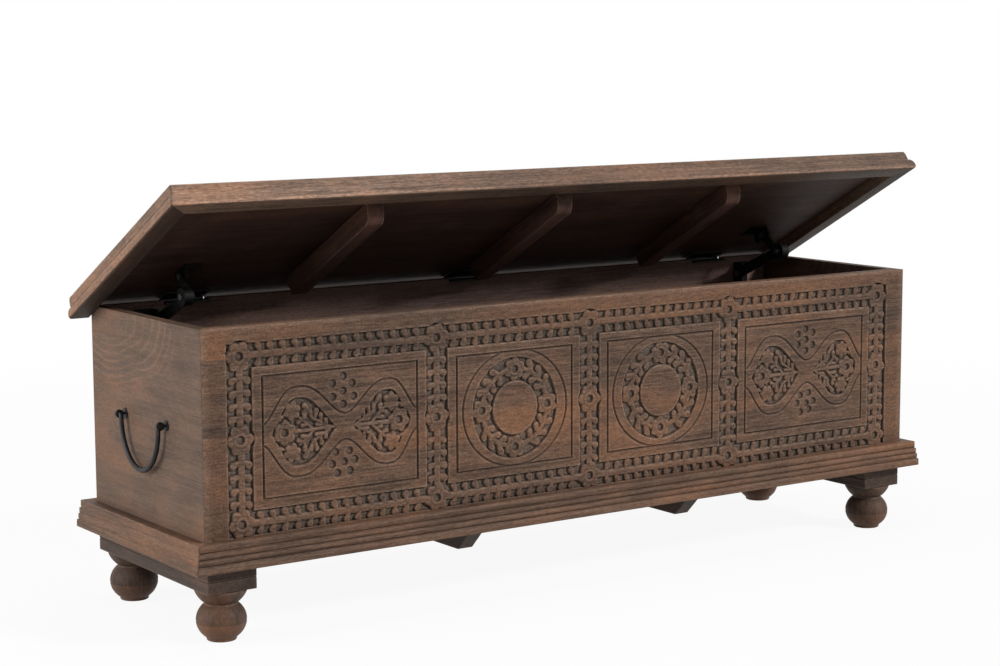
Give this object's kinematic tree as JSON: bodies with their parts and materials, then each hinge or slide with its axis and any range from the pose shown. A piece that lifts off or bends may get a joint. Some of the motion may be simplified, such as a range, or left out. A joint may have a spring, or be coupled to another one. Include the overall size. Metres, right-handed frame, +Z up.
{
  "type": "carved storage bench",
  "caption": "Long dark-stained wooden storage bench with a carved front, moulded base, turned bun feet, bail handles and a hinged lid held open by folding stays.",
  "frame": {"origin": "on the floor under the middle of the chest", "axes": "+X along the chest to its right end, +Y to its back, +Z up; the carved front faces -Y"},
  "size_m": [1.408, 0.4014, 0.6472],
  "materials": {
    "carved_wood": "dark brown stain with a grey wash in the carving",
    "plain_wood": "dark brown stain, satin",
    "inside_wood": "dark reddish brown stain, dull",
    "turned_wood": "dark brown stain, satin",
    "black_iron": "blackened",
    "zinc_steel": "dull zinc"
  },
  "bodies": {
    "chest": {"front_panel": "carved_wood", "left_end_panel": "plain_wood", "right_end_panel": "plain_wood", "front_base_moulding": "plain_wood", "back_base_moulding": "plain_wood", "left_base_moulding": "plain_wood", "right_base_moulding": "plain_wood", "back_panel": "inside_wood", "bottom_board": "inside_wood", "left_runner": "turned_wood", "right_runner": "turned_wood", "left_foot_rail": "turned_wood", "right_foot_rail": "turned_wood", "left_cross_bearer": "turned_wood", "right_cross_bearer": "turned_wood", "front_left_foot": "turned_wood", "front_right_foot": "turned_wood", "back_left_foot": "turned_wood", "back_right_foot": "turned_wood", "front_left_foot_bolt": "zinc_steel", "front_right_foot_bolt": "zinc_steel", "back_left_foot_bolt": "zinc_steel", "back_right_foot_bolt": "zinc_steel", "left_hinge_chest_leaf": "black_iron", "left_hinge_pin": "zinc_steel", "middle_hinge_chest_leaf": "black_iron", "middle_hinge_pin": "zinc_steel", "right_hinge_chest_leaf": "black_iron", "right_hinge_pin": "zinc_steel", "left_stay_wall_bracket": "black_iron", "left_stay_wall_pin": "zinc_steel", "left_front_handle_eye": "black_iron", "left_back_handle_eye": "black_iron", "right_stay_wall_bracket": "black_iron", "right_stay_wall_pin": "zinc_steel", "right_front_handle_eye": "black_iron", "right_back_handle_eye": "black_iron"},
    "lid": {"lid_panel": "plain_wood", "lid_front_rail": "plain_wood", "lid_left_rail": "plain_wood", "lid_right_rail": "plain_wood", "left_lid_batten": "inside_wood", "middle_lid_batten": "inside_wood", "right_lid_batten": "inside_wood", "left_hinge_lid_leaf": "black_iron", "middle_hinge_lid_leaf": "black_iron", "right_hinge_lid_leaf": "black_iron", "left_stay_lid_bracket": "black_iron", "left_stay_lid_pin": "zinc_steel", "right_stay_lid_bracket": "black_iron", "right_stay_lid_pin": "zinc_steel"},
    "left_stay_lower": {"left_stay_lower_arm": "black_iron", "left_stay_elbow_pin": "zinc_steel"},
    "left_stay_upper": {"left_stay_upper_arm": "black_iron"},
    "left_handle": {"left_bail": "black_iron"},
    "right_stay_lower": {"right_stay_lower_arm": "black_iron", "right_stay_elbow_pin": "zinc_steel"},
    "right_stay_upper": {"right_stay_upper_arm": "black_iron"},
    "right_handle": {"right_bail": "black_iron"}
  },
  "joints": [
    {"name": "lid_hinge", "type": "hinge", "parent": "chest", "child": "lid", "pos_m": [0, 0.1814, 0.44655], "axis": [-1, 0, 0], "range_deg": [-28.5, 52]},
    {"name": "left_stay_lower_pivot", "type": "hinge", "parent": "chest", "child": "left_stay_lower", "pos_m": [-0.577, 0.1455, 0.42055], "axis": [-1, 0, 0], "range_deg": [-28.5, 52]},
    {"name": "left_stay_elbow", "type": "hinge", "parent": "left_stay_lower", "child": "left_stay_upper", "pos_m": [-0.577, 0.03734, 0.46864], "axis": [-1, 0, 0], "range_deg": [-52, 28.5]},
    {"name": "right_stay_lower_pivot", "type": "hinge", "parent": "chest", "child": "right_stay_lower", "pos_m": [0.577, 0.1455, 0.42055], "axis": [-1, 0, 0], "range_deg": [-28.5, 52]},
    {"name": "right_stay_elbow", "type": "hinge", "parent": "right_stay_lower", "child": "right_stay_upper", "pos_m": [0.577, 0.03734, 0.46864], "axis": [-1, 0, 0], "range_deg": [-52, 28.5]},
    {"name": "left_handle_swing", "type": "hinge", "parent": "chest", "child": "left_handle", "pos_m": [-0.68, 0, 0.3004], "axis": [0, 1, 0], "range_deg": [-4, 170]},
    {"name": "right_handle_swing", "type": "hinge", "parent": "chest", "child": "right_handle", "pos_m": [0.68, 0, 0.3004], "axis": [0, -1, 0], "range_deg": [-4, 170]}
  ],
  "couplings": [
    {"joint": "left_stay_lower_pivot", "follows": "lid_hinge", "ratio": 1},
    {"joint": "left_stay_elbow", "follows": "lid_hinge", "ratio": -1},
    {"joint": "right_stay_lower_pivot", "follows": "lid_hinge", "ratio": 1},
    {"joint": "right_stay_elbow", "follows": "lid_hinge", "ratio": -1}
  ]
}
